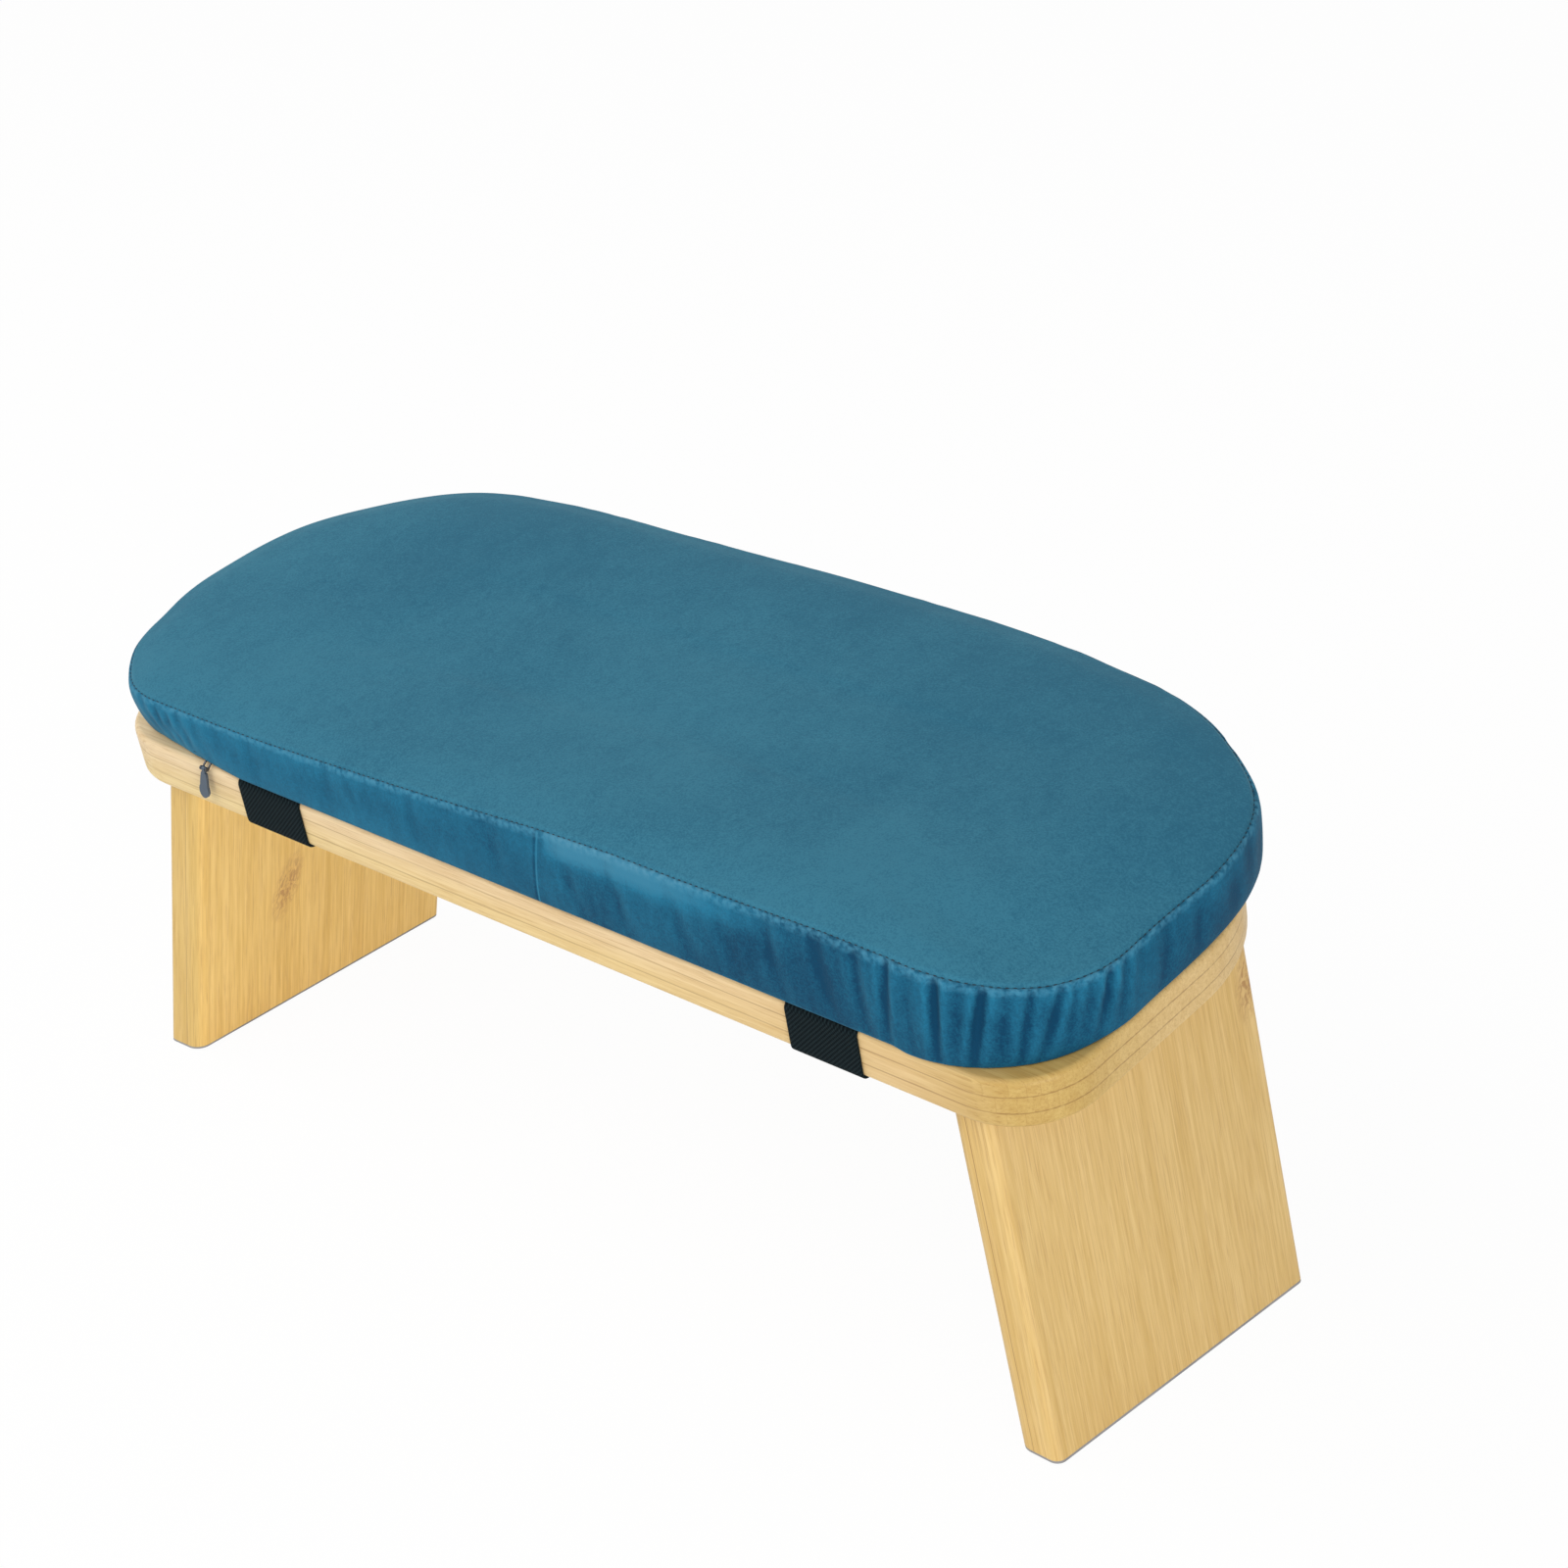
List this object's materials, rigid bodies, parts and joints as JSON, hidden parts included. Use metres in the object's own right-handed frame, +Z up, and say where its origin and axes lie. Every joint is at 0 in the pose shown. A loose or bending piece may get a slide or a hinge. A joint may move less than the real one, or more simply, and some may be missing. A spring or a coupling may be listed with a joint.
{
  "type": "meditation bench",
  "caption": "Low folding kneeling bench: a sloping D-shaped bamboo seat on splayed fold-flat legs, with a zipped velvet cushion held on by elastic straps.",
  "frame": {"origin": "on the floor, at the middle of the open bench's bounding box", "axes": "+X along the bench to the sitter's right seen from the straight front, -Y out of the straight front edge, +Z up"},
  "size_m": [0.5082, 0.2056, 0.2203],
  "materials": {
    "bamboo_board": "satin clear-coated light bamboo, glued in three plies",
    "bamboo_legs": "satin clear-coated light bamboo with vertical strips",
    "foot_pads": "thin grey non-slip pad",
    "foam": "upholstery foam",
    "velvet_top": "teal blue short-pile velvet",
    "velvet_band": "teal blue short-pile velvet",
    "cushion_underside": "plain woven cotton",
    "elastic_strap": "near-black woven elastic",
    "zip_tape": "woven zip tape",
    "zip_coil": "moulded nylon coil",
    "zip_metal": "dark painted",
    "zip_slider": "dark painted",
    "zip_pull": "slate grey painted",
    "hinge_steel": "satin nickel-plated steel",
    "screw_steel": "nickel-plated steel"
  },
  "bodies": {
    "seat": {"cushion_bottom_panel": "cushion_underside", "cushion_foam": "foam", "cushion_side_band": "velvet_band", "cushion_top_panel": "velvet_top", "left_front_hinge_pin": "hinge_steel", "left_front_seat_leaf": "hinge_steel", "left_rear_hinge_pin": "hinge_steel", "left_rear_seat_leaf": "hinge_steel", "left_strap": "elastic_strap", "right_front_hinge_pin": "hinge_steel", "right_front_seat_leaf": "hinge_steel", "right_rear_hinge_pin": "hinge_steel", "right_rear_seat_leaf": "hinge_steel", "right_strap": "elastic_strap", "seat_board": "bamboo_board", "seat_leaf_screws": "screw_steel", "zip_coil": "zip_coil", "zip_end_stops": "zip_metal", "zip_tape": "zip_tape"},
    "left_leg": {"left_foot_pad": "foot_pads", "left_front_leg_leaf": "hinge_steel", "left_leg": "bamboo_legs", "left_leg_leaf_screws": "screw_steel", "left_rear_leg_leaf": "hinge_steel"},
    "right_leg": {"right_foot_pad": "foot_pads", "right_front_leg_leaf": "hinge_steel", "right_leg": "bamboo_legs", "right_leg_leaf_screws": "screw_steel", "right_rear_leg_leaf": "hinge_steel"},
    "zip_slider": {"zip_slider": "zip_slider"},
    "zip_pull": {"zip_pull": "zip_pull"}
  },
  "joints": [
    {"name": "left_leg_fold", "type": "hinge", "parent": "seat", "child": "left_leg", "pos_m": [-0.19951, -0.01382, 0.14627], "axis": [0, -0.9903, -0.1392], "range_deg": [0, 101.7]},
    {"name": "right_leg_fold", "type": "hinge", "parent": "seat", "child": "right_leg", "pos_m": [0.19951, -0.01382, 0.14627], "axis": [0, 0.9903, 0.1392], "range_deg": [0, 101.7]},
    {"name": "zip_slide", "type": "slide", "parent": "seat", "child": "zip_slider", "axis": [1, 0, 0], "range_m": [0, 0.363]},
    {"name": "zip_pull_swing", "type": "hinge", "parent": "zip_slider", "child": "zip_pull", "pos_m": [-0.1815, -0.09916, 0.15901], "axis": [-1, 0, 0], "range_deg": [-5, 140]}
  ]
}
